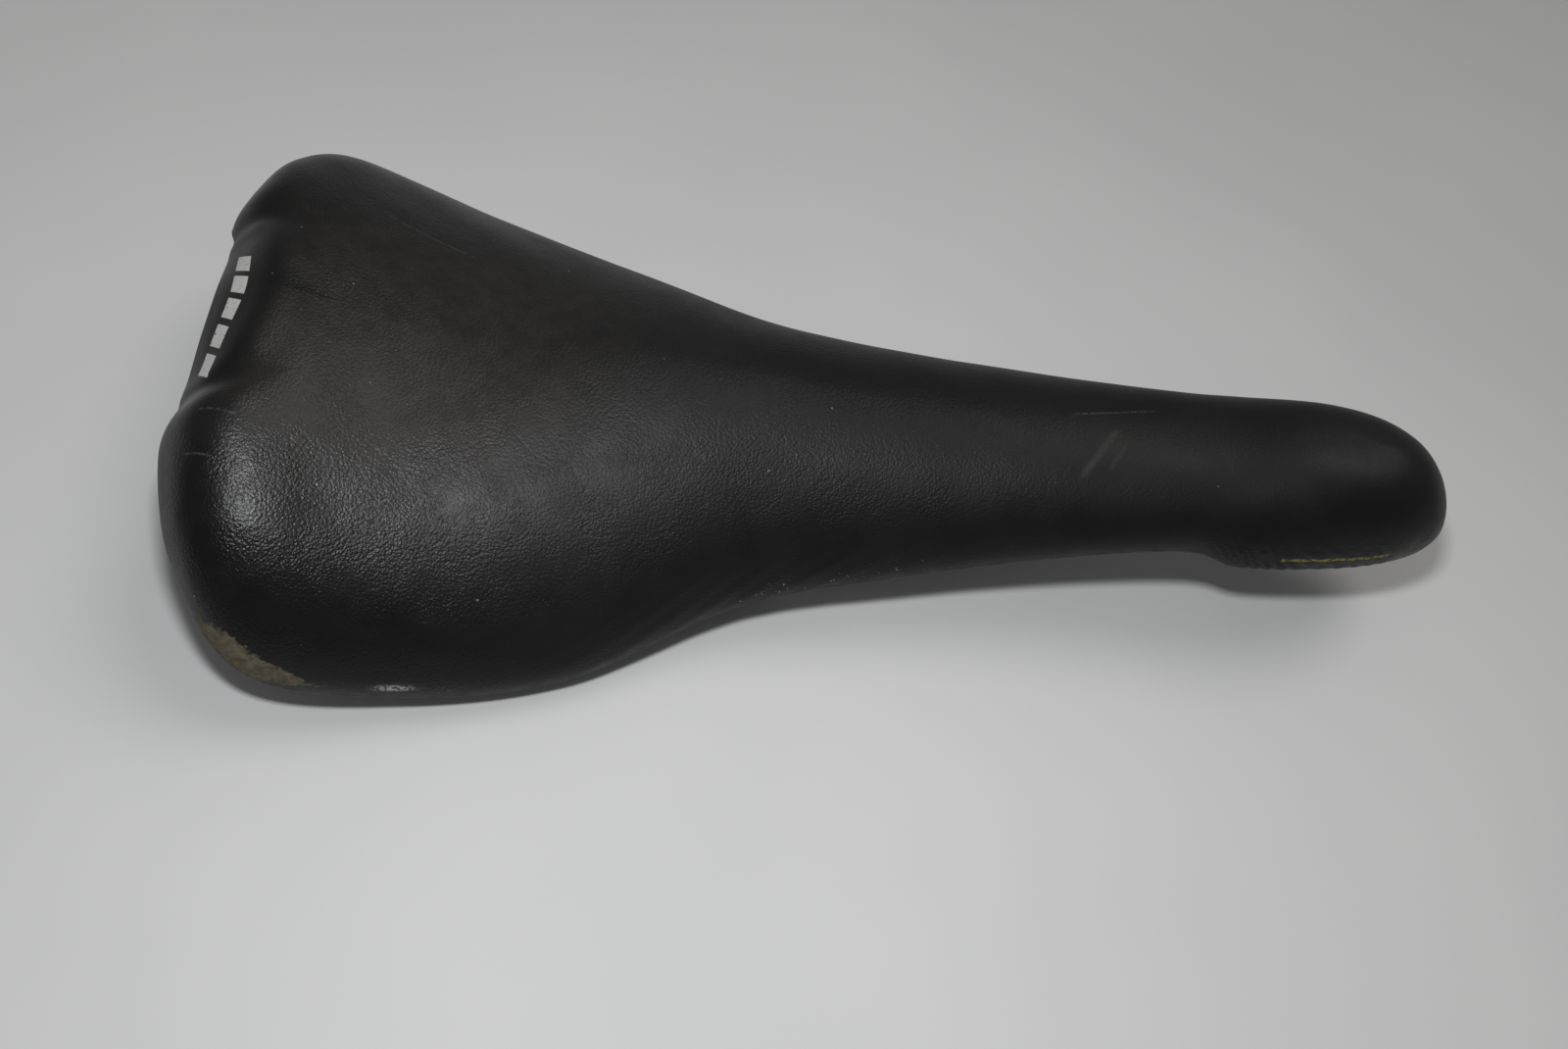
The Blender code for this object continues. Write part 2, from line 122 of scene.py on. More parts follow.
def ridge(x):
    return curve(RIDGE_X, RIDGE_Z, np.clip(x, 0, LENGTH))


def skin(ray, phi):
    """Points of the left half: ray is 0 (tail) to 14 (nose), phi is 0 (ridge) to pi/2 (rim)."""
    stations = np.arange(STATIONS)
    rim_x = curve(stations, RIM_X, ray, (0, 0))
    rim_y = curve(stations, RIM_Y, ray) * ((ray > 0) & (ray < STATIONS - 1))
    rim_z = curve(stations, RIM_Z, ray, (0, 0))
    start = curve(stations, SPINE_X, ray, (0, 0))
    power = 2 / curve(stations, FULLNESS, ray, (0, 0))
    out = np.clip(np.sin(phi), 0, 1) ** power
    up = np.where(phi > math.pi / 2 - 1e-9, 0.0, np.clip(np.cos(phi), 0, 1)) ** power
    y = rim_y * out
    slant = TAIL_SLANT * sigmoid((3.4 - ray) / 0.5)
    x = start + (rim_x - start) * out + recess(ray, y) * out + slant * up * out ** 2
    rim_end = rim_x + recess(ray, rim_y)
    z = ridge(x) - (ridge(rim_end) - rim_z) * (1 - up)
    return np.stack([x, y, z], -1)


def mirrored(points):
    return points * (1, -1, 1)


def grid_at(rays, steps):
    """The skin at rays and at column numbers: 0 to 10 down the crown, 10 to 13 down the hem."""
    dense = np.linspace(0, math.pi / 2, 321)
    rows = []
    drops = []
    for ray in rays:
        line = skin(np.full(dense.shape, ray), dense)
        run = np.concatenate([[0], np.cumsum(np.linalg.norm(np.diff(line, axis=0), axis=1))])
        crown_run = (np.clip(steps, 0, CROWN_STEPS) / CROWN_STEPS) ** 0.85 * (run[-1] - HEM_STEPS[0])
        hem_run = run[-1] - np.interp(steps, [10, 11, 12, 13], HEM_STEPS)
        at = np.where(steps <= CROWN_STEPS, crown_run, hem_run)
        phi = np.interp(at, run, dense)
        phi[-1] = math.pi / 2
        rows.append(skin(np.full(phi.shape, ray), phi))
        drops.append(run[-1] - at)
    return np.array(rows), np.array(drops)


def inward(grid):
    """Unit normals of the CAD's grid that point into the saddle, smoothed as the CAD smooths them."""
    along = np.empty_like(grid)
    along[1:-1] = grid[2:] - grid[:-2]
    along[0] = grid[1] - mirrored(grid[1])
    along[-1] = mirrored(grid[-2]) - grid[-2]
    down = np.empty_like(grid)
    down[:, 1:-1] = grid[:, 2:] - grid[:, :-2]
    down[:, 0] = grid[:, 1] - mirrored(grid[:, 1])
    down[:, -1] = grid[:, -1] - grid[:, -2]
    normal = np.cross(down, along)
    x = grid[:, 0, 0]
    normal[:, 0] = np.stack([ridge(x + 0.5) - ridge(x - 0.5), 0 * x, -np.ones(len(x))], -1)
    normal[:, -1, 2] = 0
    normal /= np.linalg.norm(normal, axis=-1, keepdims=True)
    for _ in range(4):
        before = np.concatenate([mirrored(normal[1:2]), normal[:-1]])
        after = np.concatenate([normal[1:], mirrored(normal[-2:-1])])
        wider = np.concatenate([mirrored(normal[:, 1:2]), normal[:, :-1]], axis=1)
        lower = np.concatenate([normal[:, 1:], normal[:, -1:]], axis=1)
        normal = normal * 2 + before + after + wider + lower
        normal[0, :, 1] = 0
        normal[-1, :, 1] = 0
        normal[:, 0, 1] = 0
        normal[:, -1, 2] = 0
        normal /= np.linalg.norm(normal, axis=-1, keepdims=True)
    return normal


def spread(values, rays, steps):
    """Values on the CAD's grid, read between its points."""
    u = np.clip(rays * COARSE_RAYS, 0, len(values) - 1.000001)
    v = np.clip(steps, 0, values.shape[1] - 1.000001)
    i = u.astype(int)[:, None]
    j = v.astype(int)[None, :]
    a = (u[:, None] - i)[..., None]
    b = (v[None, :] - j)[..., None]
    if values.ndim == 2:
        a = a[..., 0]
        b = b[..., 0]
    near = values[i, j] * (1 - b) + values[i, j + 1] * b
    far = values[i + 1, j] * (1 - b) + values[i + 1, j + 1] * b
    return near * (1 - a) + far * a


# the CAD's own grid and layer depths
CAD_RAYS = np.linspace(0, STATIONS - 1, (STATIONS - 1) * COARSE_RAYS + 1)
CAD_GRID, _ = grid_at(CAD_RAYS, np.arange(14.0))
CAD_INWARD = inward(CAD_GRID)
share = curve(FOAM_SHARE_X, FOAM_SHARE, np.clip(CAD_GRID[:, :, 0], 0, LENGTH))
CAD_FOAM = np.zeros(CAD_GRID.shape[:2])
CAD_FOAM[:, :11] = np.maximum(np.array(FOAM) * share[:, :11], 0.8)
CAD_SHELL_OUT = LEATHER + GAP + CAD_FOAM
CAD_SHELL_OUT[:, :11] += GAP + 0.15
CAD_SHELL_OUT[:, 11] += 0.5

# the visual grid: both halves share it, and RING_* arrays hold the whole way round
RAYS = np.linspace(0, STATIONS - 1, (STATIONS - 1) * RAYS_PER_STATION + 1)
STEPS = np.concatenate([np.linspace(0, 10, CROWN_COLUMNS + 1)[:-1], np.linspace(10, 13, HEM_COLUMNS)])
GRID, TO_RIM = grid_at(RAYS, STEPS)
INWARD = spread(CAD_INWARD, RAYS, STEPS)
INWARD /= np.linalg.norm(INWARD, axis=-1, keepdims=True)
FOAM_THICK = spread(CAD_FOAM, RAYS, STEPS)
SHELL_OUT = spread(CAD_SHELL_OUT, RAYS, STEPS)
HEM_IN = SHELL_OUT + SHELL + GAP
HEM_OUT = HEM_IN + HEM_LEATHER
LAST = GRID.shape[1] - 1
HEM_START = CROWN_COLUMNS


def layer(depth, columns):
    depth = np.broadcast_to(depth, GRID.shape[:2])
    return (GRID + INWARD * depth[..., None])[:, columns]


def turn(outer, inner, drop, steps):
    """The folded edge, from one depth to another round the bottom of the shell."""
    rim = GRID[:, LAST]
    way = INWARD[:, LAST]
    middle = (outer + inner) / 2
    half = (inner - outer) / 2
    columns = []
    for step in range(1, steps):
        angle = math.pi * step / steps
        point = rim + way * (middle - half * math.cos(angle))[:, None]
        point[:, 2] -= drop * math.sin(angle)
        columns.append(point)
    return np.stack(columns, 1)


def whole(left, right=None):
    """The ring round the saddle from its left half and, given the same way, its right half."""
    right = left if right is None else right
    return np.concatenate([left, right[1:-1][::-1]])


def ring_mesh(name, ring, masks=None):
    """A closed smooth body from rings of points that all meet along the ridge."""
    count, columns = ring.shape[:2]
    index = np.arange(count * columns).reshape(count, columns)
    follower = np.arange(count * columns)
    for i in range(1, (count + 1) // 2):
        for end in (0, columns - 1):
            follower[index[count - i, end]] = index[i, end]
    near = index
    far = np.roll(index, -1, axis=0)
    quads = np.stack([near[:, :-1], far[:, :-1], far[:, 1:], near[:, 1:]], -1).reshape(-1, 4)
    quads = follower[quads]
    faces = []
    for quad in quads.tolist():
        corners = list(dict.fromkeys(quad))
        if len(corners) > 2:
            faces.append(corners)
    used = np.unique(np.concatenate([np.array(face) for face in faces]))
    number = np.full(count * columns, -1)
    number[used] = np.arange(len(used))
    faces = [number[face].tolist() for face in faces]
    mesh = bpy.data.meshes.new(name)
    mesh.from_pydata(place(ring.reshape(-1, 3)[used]).tolist(), [], faces)
    mesh.polygons.foreach_set("use_smooth", [True] * len(mesh.polygons))
    for key, values in (masks or {}).items():
        mesh.attributes.new(key, "FLOAT", "POINT").data.foreach_set(
            "value", np.ascontiguousarray(values.reshape(-1)[used], np.float32))
    return link(name, mesh)


def link(name, data):
    obj = bpy.data.objects.new(name, data)
    bpy.context.scene.collection.objects.link(obj)
    return obj


def finish_piece(obj, made, slot, *nodes):
    """Gives a piece its material and its body, and hides the CAD nodes that it stands for. The slot
    argument is not used.
    """
    obj.data.materials.clear()
    obj.data.materials.append(made)
    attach(obj, "root")
    if nodes:
        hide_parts(*nodes)
    return obj


# ---------------------------------------------------------------- camera

# degrees and metres, fitted to the photograph's outline
CAMERA_AZIMUTH = -10.13
CAMERA_ELEVATION = 53.81
CAMERA_ROLL = 14.87
CAMERA_DISTANCE = 0.33554
CAMERA_TARGET = np.array([-0.01326, -0.02307, 0.02562])


def make_camera():
    a, e, r = (math.radians(v) for v in (CAMERA_AZIMUTH, CAMERA_ELEVATION, CAMERA_ROLL))
    back = np.array([math.sin(a) * math.cos(e), -math.cos(a) * math.cos(e), math.sin(e)])
    right = np.array([math.cos(a), math.sin(a), 0.0])
    up = np.cross(back, right)
    side = math.cos(r) * right + math.sin(r) * up
    top = -math.sin(r) * right + math.cos(r) * up
    data = bpy.data.cameras.new("Camera")
    data.sensor_fit = "HORIZONTAL"
    data.sensor_width = 36.0
    data.lens = 36.0
    data.clip_start = 0.01
    obj = link("Camera", data)
    matrix = Matrix((side, top, back)).transposed().to_4x4()
    matrix.translation = Vector(CAMERA_TARGET + CAMERA_DISTANCE * back)
    obj.matrix_world = matrix
    bpy.context.scene.camera = obj
    return CAMERA_TARGET + CAMERA_DISTANCE * back, top, back


CAMERA_AT, CAMERA_UP, CAMERA_BACK = make_camera()

# ---------------------------------------------------------------- node helpers


class Nodes:
    """A short way to write a material's node tree."""

    def __init__(self, name):
        self.material = bpy.data.materials.new(name)
        self.material.use_nodes = True
        self.tree = self.material.node_tree
        self.shader = self.tree.nodes["Principled BSDF"]
        self.place = self.add("ShaderNodeTexCoord").outputs["Object"]

    def put(self, socket, value):
        if isinstance(value, bpy.types.NodeSocket):
            self.tree.links.new(value, socket)
        elif isinstance(value, tuple) and len(value) == 3 and socket.type == "RGBA":
            socket.default_value = (*value, 1)
        else:
            socket.default_value = value

    def add(self, kind, ins=None, **settings):
        node = self.tree.nodes.new(kind)
        for key, value in settings.items():
            setattr(node, key, value)
        for key, value in (ins or {}).items():
            self.put(node.inputs[key], value)
        return node

    def set(self, **values):
        for key, value in values.items():
            self.put(self.shader.inputs[key.replace("_", " ")], value)

    def math(self, operation, a, b=0.0, clamp=False):
        node = self.add("ShaderNodeMath", operation=operation, use_clamp=clamp)
        self.put(node.inputs[0], a)
        self.put(node.inputs[1], b)
        return node.outputs[0]

    def times(self, *values):
        found = values[0]
        for value in values[1:]:
            found = self.math("MULTIPLY", found, value)
        return found

    def plus(self, *values):
        found = values[0]
        for value in values[1:]:
            found = self.math("ADD", found, value)
        return found

    def fit(self, value, low, high, to_low=0.0, to_high=1.0, smooth=True):
        """Maps low..high onto to_low..to_high, held at the ends."""
        kind = "SMOOTHSTEP" if smooth else "LINEAR"
        ins = {"Value": value, "From Min": low, "From Max": high, "To Min": to_low, "To Max": to_high}
        return self.add("ShaderNodeMapRange", ins, interpolation_type=kind).outputs["Result"]

    def band(self, value, low, high, soft):
        """1 between low and high, 0 outside, changing within soft of each."""
        rise = self.fit(value, low - soft, low + soft)
        return self.times(rise, self.fit(value, high - soft, high + soft, 1.0, 0.0))

    def mix(self, share, a, b):
        node = self.add("ShaderNodeMix", data_type="RGBA")
        self.put(node.inputs[0], share)
        self.put(node.inputs[6], a)
        self.put(node.inputs[7], b)
        return node.outputs[2]

    def bump(self, height, distance, strength=1.0, normal=None):
        ins = {"Height": height, "Strength": strength, "Distance": distance}
        if normal is not None:
            ins["Normal"] = normal
        return self.add("ShaderNodeBump", ins).outputs["Normal"]

    def stretched(self, scale, turn=(0.0, 0.0, 0.0)):
        ins = {"Vector": self.place, "Scale": scale, "Rotation": turn}
        return self.add("ShaderNodeMapping", ins).outputs["Vector"]

    def noise(self, scale, detail=3.0, rough=0.5, distort=0.0, at=None):
        ins = {"Vector": at or self.place, "Scale": scale, "Detail": detail, "Roughness": rough,
               "Distortion": distort}
        return self.add("ShaderNodeTexNoise", ins).outputs["Fac"]

    def cells(self, scale, feature="F1", at=None, random=1.0):
        ins = {"Vector": at or self.place, "Scale": scale, "Randomness": random}
        return self.add("ShaderNodeTexVoronoi", ins, feature=feature).outputs["Distance"]

    def warped(self, scale, amount):
        """Coordinates pushed about by noise."""
        wander = self.add("ShaderNodeTexNoise", {"Vector": self.place, "Scale": scale, "Detail": 2.0})
        off = self.add("ShaderNodeVectorMath", operation="SUBTRACT")
        self.put(off.inputs[0], wander.outputs["Color"])
        off.inputs[1].default_value = (0.5, 0.5, 0.5)
        grow = self.add("ShaderNodeVectorMath", operation="SCALE")
        self.put(grow.inputs[0], off.outputs[0])
        grow.inputs["Scale"].default_value = amount
        total = self.add("ShaderNodeVectorMath", operation="ADD")
        self.put(total.inputs[0], self.place)
        self.put(total.inputs[1], grow.outputs[0])
        return total.outputs[0]

    def mask(self, name):
        return self.add("ShaderNodeAttribute", attribute_name=name).outputs["Fac"]

    def line(self, start, end, width, taper=2.0):
        """A soft line on the crown between two (x, y) points in saddle millimetres: 1 on it."""
        a = np.array(start, float)
        b = np.array(end, float)
        length = float(np.linalg.norm(b - a))
        t = (b - a) / length
        a = (a - (MIDDLE_X, 0)) / 1000
        split = self.add("ShaderNodeSeparateXYZ", {"Vector": self.place})
        x, y = split.outputs["X"], split.outputs["Y"]
        run = self.plus(self.times(x, float(t[0])), self.times(y, float(t[1])), -float(a @ t))
        off = self.plus(self.times(x, float(-t[1])), self.times(y, float(t[0])),
                        -float(a @ (-t[1], t[0])))
        thin = self.fit(self.math("ABSOLUTE", off), 0.0, width / 1000, 1.0, 0.0)
        begin = self.fit(run, 0.0, taper / 1000)
        finish = self.fit(run, (length - taper) / 1000, length / 1000, 1.0, 0.0)
        return self.times(thin, begin, finish)


# ---------------------------------------------------------------- leather cover: form


def relief(side):
    """How far the worn leather stands out from the CAD's skin, in mm, for one half."""
    x = GRID[..., 0]
    y = GRID[..., 1] * side
    ray = np.broadcast_to(RAYS[:, None], x.shape)
    t = TO_RIM
    high = sigmoid((t - 12) / 3)
    # soft unevenness of the thin padding
    soft = 0.09 * np.sin(x / 6.1 + 0.9 * np.sin(y / 7.7)) * np.sin(y / 6.8 + 1.1 * np.sin(x / 9.3) + 0.6)
    soft = soft + 0.05 * np.sin(x / 3.4 + y / 5.1 + 1.3 * np.sin(y / 6.0)) * sigmoid((110 - x) / 14)
    found = soft * high * sigmoid((215 - x) / 12)
    # sat-in hollows each side of the ridge
    found = found - 0.10 * bump_at(x, 55, 14) * bump_at(y, -20, 9) * high
    found = found - 0.10 * bump_at(x, 61, 17) * bump_at(y, 22, 10) * high
    # the rear lobes are flatter on top than the CAD's skin, and turn down later
    found = found + 1.15 * bump_at(x, 33, 20) * bump_at(np.abs(y), 54, 11) * sigmoid((t - 6) / 2)
    # the edge rolls under before the fold
    found = found - 0.75 * (np.clip(6.0 - t, 0, 6) / 6) ** 2
    # leather gathered on the flank of the nose
    gather = between(ray, 10.15, 12.35, 0.13) * between(t, -1.0, 8.0, 1.2)
    lean = x * 0.80 + t * 1.05 + 1.4 * np.sin(x / 5.3 + side) + 0.8 * np.sin(t / 2.1 + x / 8.0)
    wrinkles = 0.13 * np.sin(lean * 2 * math.pi / 3.1) + 0.07 * np.sin(lean * 2 * math.pi / 1.9 + x)
    found = found + gather * wrinkles
    # tension folds that run down the waist to the edge
    waist = between(x, 95, 165, 6) * between(t, 0.5, 13, 2.0)
    found = found + waist * 0.07 * np.sin((x * 0.55 - t * 1.2 + 2 * np.sin(x / 11.0)) * 2 * math.pi / 6.5)
    return found


def puckers(side):
    """Small pleats of the hem where the leather is pulled round a tight curve, one value a ray."""
    tight = bump_at(RAYS, 13.1, 1.3) + bump_at(RAYS, 2.9, 1.0) + 0.5 * bump_at(RAYS, 10.4, 0.5) + 0.18
    wave = np.sin(RAYS * 9.1 + side + 1.5 * np.sin(RAYS * 3.3)) + 0.4 * np.sin(RAYS * 21.7 + 2 * side)
    return 0.22 * np.clip(tight, 0, 1) * wave * np.clip((14 - RAYS) * 1.5, 0, 1) * np.clip(RAYS, 0, 1)


def cover_half(side):
    high = relief(side)
    folds = puckers(side)
    outer = GRID - INWARD * high[..., None]
    angle = math.pi * np.arange(1, TURN_COLUMNS) / TURN_COLUMNS
    fold = turn(-high[:, LAST], HEM_OUT[:, LAST], TURN_DEPTH, TURN_COLUMNS)
    fold[..., 2] -= folds[:, None] * np.sin(angle) ** 2
    hem_up = slice(LAST, HEM_START - 1, -1)
    ripple = np.linspace(0, 1, HEM_COLUMNS) * folds[:, None] * 0.8
    under = layer(HEM_OUT, hem_up) + INWARD[:, hem_up] * ripple[..., None]
    over = layer(HEM_IN, slice(HEM_START, LAST + 1))
    back = turn(HEM_IN[:, LAST], np.full(len(RAYS), LEATHER), TURN_DEPTH - LEATHER, 6)
    lining = layer(LEATHER, slice(None, None, -1))
    return np.concatenate([outer, fold, under, over, back, lining], axis=1)


LEFT_HALF = cover_half(1)
RIGHT_HALF = cover_half(-1)
COVER_RING = whole(LEFT_HALF, mirrored(RIGHT_HALF))
COLUMNS = COVER_RING.shape[1]

# ---------------------------------------------------------------- leather cover: where it is worn, and where sheen and highlights are painted


def widened(left, right=None, after=0.0):
    """A mask on the outer skin, given for every column of the cover with one value past the fold."""
    ring = whole(left, left if right is None else right)
    found = np.full((len(ring), COLUMNS), float(after))
    found[:, : LAST + 1] = ring
    return found


RAY = np.broadcast_to(RAYS[:, None], TO_RIM.shape)
X = GRID[..., 0]
Y = GRID[..., 1]

rim_mm = np.full((len(RAYS), COLUMNS), -12.0)
rim_mm[:, : LAST + 1] = TO_RIM
rim_mm[:, LAST + 1 : LAST + TURN_COLUMNS] = -np.linspace(0.5, 7.5, TURN_COLUMNS - 1)

# the scuffed corner: upper and lower edge, in mm above the rim, against the ray
SCUFF_TOP = ([3.42, 3.55, 3.75, 3.88, 4.0, 4.19, 4.31, 4.47], [-2, 5, 8.6, 9.6, 8.9, 7.6, 6.2, 3.4])
SCUFF_LOW = ([3.42, 3.9, 4.12, 4.3, 4.47], [-4, -3, -0.5, 2.0, 3.0])
scuff_top = np.interp(RAY, *SCUFF_TOP)
scuff_low = np.interp(RAY, *SCUFF_LOW)
scuff = np.minimum(scuff_top - TO_RIM, TO_RIM - scuff_low)
scuff = np.minimum(scuff, np.minimum(RAY - 3.36, 4.56 - RAY) * 22)
left_scuff = np.full(TO_RIM.shape, -9.0)
scuff_mask = widened(left_scuff, scuff, after=-9.0)
fold_share = np.linspace(0, 1, TURN_COLUMNS - 1)[None, :]
scuff_mask[:, LAST + 1 : LAST + TURN_COLUMNS] = scuff_mask[:, LAST : LAST + 1] - fold_share * 6

rear_band = between(RAY, 2.35, 3.85, 0.12) * between(TO_RIM, 1.0, 10.0, 1.6)
hem_specks = bump_at(RAY, 5.25, 0.22) * between(TO_RIM, -1, 4.5, 0.8)
tip_rub = between(RAY, 12.35, 13.25, 0.1) * between(TO_RIM, -2.0, 6.5, 1.2)
apron = sigmoid((3.0 - RAY) / 0.28) * between(TO_RIM, -3, 21, 1.4)
apron = apron * sigmoid((34 - Y) / 2.0) * sigmoid(28.5 - X)
pebble = 0.15 + 0.85 * sigmoid((185 - X) / 22)
pebble = pebble * (1 - 0.75 * apron) * (0.8 + 0.2 * sigmoid((TO_RIM - 9) / 3))
# the patch on the rear crown is partly dust film and partly a painted sheen, standing for the room's
# reflection
dust_and_sheen_left = 0.7 * bump_at(X, 60, 44) * bump_at(Y, 6, 30) * sigmoid((RAY - 0.4) / 0.2)
dust_and_sheen_right = bump_at(X, 52, 46) * bump_at(Y, 14, 26) * (0.3 + 0.7 * sigmoid((TO_RIM - 21) / 3))
print_right = between(RAY, 7.05, 8.1, 0.06) * between(TO_RIM, 0.6, 5.0, 0.8)
# short light dashes on the near rim: a painted highlight
glint_dash_right = between(RAY, 4.85, 5.03, 0.02) * between(TO_RIM, 3.0, 4.2, 0.2)
gathered = between(RAY, 10.15, 12.35, 0.13) * between(TO_RIM, -1.0, 9.0, 1.2)
gloss = sigmoid((70 - X) / 8) * sigmoid((TO_RIM - 6) / 2)

MASKS = {
    "gloss": widened(gloss),
    "rim_mm": whole(rim_mm),
    "scuff_mm": scuff_mask,
    "specks": widened(0.35 * rear_band + 0.3 * hem_specks, rear_band + hem_specks),
    "tip_rub": widened(0.35 * tip_rub, tip_rub),
    "apron": widened(apron),
    "apron_mm": widened(np.where(RAY < 4, TO_RIM, 99.0), after=-9.0),
    "pebble": widened(pebble, after=0.6),
    "dust_and_sheen": widened(dust_and_sheen_left, dust_and_sheen_right),
    "flecks": widened(0 * print_right, print_right),
    "glint_dashes": widened(0 * glint_dash_right, glint_dash_right),
    "gathered": widened(gathered),
    "nose_line": widened(np.where((RAY > 10) & (RAY < 13), TO_RIM, 99.0), after=-9.0),
    "inside": widened(0 * X, after=1.0),
}
inside_from = LAST + TURN_COLUMNS + HEM_COLUMNS
MASKS["inside"][:, LAST + 1 : inside_from] = 0.0

cover = ring_mesh("Leather_cover", COVER_RING, MASKS)

# ---------------------------------------------------------------- leather cover: material

# colours are linear RGB
BLACK_LOW = (0.0026, 0.0027, 0.0030)
BLACK_HIGH = (0.0045, 0.0044, 0.0044)
APRON_BLACK = (0.0045, 0.0045, 0.0047)
DUST_AND_SHEEN = (0.046, 0.040, 0.036)
DUST_AND_SHEEN_SHARE = 0.5
RUBBED_AND_HIGHLIT_EDGE = (0.030, 0.028, 0.026)
RUBBED_TIP = (0.13, 0.125, 0.115)
RUBBED_STREAK = (0.075, 0.074, 0.072)
SCRATCH = (0.12, 0.13, 0.14)
SPECK = (0.075, 0.055, 0.032)
RAW_DARK = (0.065, 0.055, 0.034)
RAW_LIGHT = (0.135, 0.118, 0.078)
LINT = (0.2, 0.2, 0.19)
PRINT_FLECK_AND_GLINT = (0.45, 0.46, 0.46)
PRINT_WHITE = (0.50, 0.50, 0.48)
PRINT_YELLOW = (0.22, 0.19, 0.02)
FLESH_SIDE = (0.16, 0.125, 0.09)
ROUGH_LOW = 0.43
ROUGH_HIGH = 0.50
SPECULAR = 0.24
# heights of the bumps, in metres
BROAD_BUMP = 0.00025
FOLD_BUMP = 0.00022
CREASE_BUMP = 0.00004
GRAIN_BUMP = 0.00015
RAW_BUMP = 0.00022
# the printed bars on the rear panel, and the line on the nose: millimetres
BAR_PITCH = 6.6
BAR_ENDS = (-15.4, 16.9)
BAR_BAND = (6.7, 11.1)
LINE_BAND = (3.3, 4.3)
LINE_ENDS = (96.5, 121.5)


def leather_material():
    n = Nodes("Worn black leather")
    pebble = n.mask("pebble")
    rim = n.mask("rim_mm")
    apron = n.mask("apron")
    dust_and_sheen = n.mask("dust_and_sheen")
    gathered = n.mask("gathered")
    split = n.add("ShaderNodeSeparateXYZ", {"Vector": n.place})

    # grain: cells 0.6 mm and 0.3 mm across with a fine noise on them, and a broad unevenness
    bent = n.warped(600.0, 0.0004)
    coarse = n.cells(1650.0, "F1", at=bent)
    fine = n.cells(3000.0, "F1", at=n.warped(1500.0, 0.0002))
    hair = n.noise(4200.0, 2.0, 0.6)
    grain_mix = n.noise(120.0, 2.0)
    grain = n.plus(n.times(coarse, -0.62), n.times(fine, -0.30), n.times(hair, 0.15))
    grain_depth = n.times(pebble, n.fit(grain_mix, 0.3, 0.7, 0.55, 1.15))
    grain_height = n.times(grain, grain_depth)
    folds = n.noise(1.0, 3.0, 0.55, at=n.stretched((260.0, 700.0, 500.0), (0.0, 0.0, 0.6)))
    fold_height = n.times(folds, n.plus(0.05, n.times(gathered, 1.5)))
    broad = n.noise(62.0, 2.0, 0.4)

    # wear, with a painted rim highlight in the edge band and a painted glint in the dashes
    ragged = n.plus(n.times(n.noise(700.0, 5.0, 0.65), 5.2), n.times(n.noise(220.0, 2.0), 3.0))
    scuff = n.fit(n.plus(n.mask("scuff_mm"), ragged), 3.75, 4.35)
    speck_noise = n.noise(1500.0, 4.0, 0.7)
    speck_share = n.plus(speck_noise, n.times(n.mask("specks"), 0.17))
    specks = n.fit(speck_share, 0.70, 0.745)
    edge = n.fit(rim, 2.5, -0.5)
    # lighter band along the rim: rub wear and a painted rim highlight
    edge_rub_and_highlight = n.times(edge, n.fit(n.noise(300.0, 4.0, 0.6), 0.35, 0.75))
    tip = n.times(n.mask("tip_rub"), n.fit(n.noise(330.0, 4.0, 0.65), 0.38, 0.62))
    flecks = n.times(n.mask("flecks"), n.fit(n.noise(900.0, 3.0, 0.7), 0.66, 0.69))
    glint_dashes = n.times(n.mask("glint_dashes"), n.fit(n.noise(1300.0, 3.0, 0.6), 0.42, 0.5))
    streaks = n.math("MAXIMUM", n.line((196.6, -14.0), (205.8, -0.5), 1.3, 3.0),
                     n.times(n.line((203.0, -11.5), (207.5, -4.0), 0.7, 2.0), 0.6))
    streaks = n.times(streaks, n.fit(n.noise(900.0, 3.0), 0.3, 0.7, 0.45, 1.0))
    thin = n.line((194.0, 1.2), (216.0, 6.0), 0.45, 4.0)
    thin = n.math("MAXIMUM", thin, n.line((18.5, -30.6), (27.0, -31.8), 0.35, 1.0))
    thin = n.math("MAXIMUM", thin, n.line((17.0, -38.6), (24.0, -40.2), 0.3, 1.5))
    thin = n.math("MAXIMUM", thin, n.line((40.0, 33.0), (66.0, 24.0), 0.3, 5.0))
    thin = n.times(thin, n.fit(n.noise(1600.0, 3.0), 0.35, 0.6))
    crease = n.math("MAXIMUM", n.line((82.0, -18.5), (94.0, -30.0), 0.8, 6.0),
                    n.line((76.0, -20.0), (84.5, -27.0), 0.4, 4.0))
    crease = n.math("MAXIMUM", crease, n.line((88.0, 17.0), (104.0, 27.0), 0.5, 5.0))
    pin = n.fit(n.cells(170.0, "F1"), 0.055, 0.03)
    pin = n.times(pin, n.fit(n.noise(45.0, 1.0), 0.5, 0.62))

    # a plain row of bars on the rear panel and a plain line on the nose, in place of lettering
    across = n.mask("apron_mm")
    lean = n.plus(n.times(split.outputs["Y"], 1000.0), n.times(across, 0.55))
    repeat = n.math("FRACT", n.times(n.plus(lean, 200.0), 1 / BAR_PITCH))
    bars = n.times(n.fit(repeat, 0.03, 0.05), n.fit(repeat, 0.78, 0.80, 1.0, 0.0))
    bars = n.times(bars, n.band(lean, *BAR_ENDS, 0.1), n.band(across, *BAR_BAND, 0.1))
    chips = n.fit(n.noise(1100.0, 5.0, 0.75), 0.36, 0.40)
    white = n.times(bars, chips)
    nose = n.mask("nose_line")
    nose_x = n.times(split.outputs["X"], 1000.0)
    line = n.times(n.band(nose, *LINE_BAND, 0.1), n.band(nose_x, *LINE_ENDS, 0.5))
    yellow = n.times(line, n.fit(n.noise(1500.0, 4.0, 0.7), 0.44, 0.52))

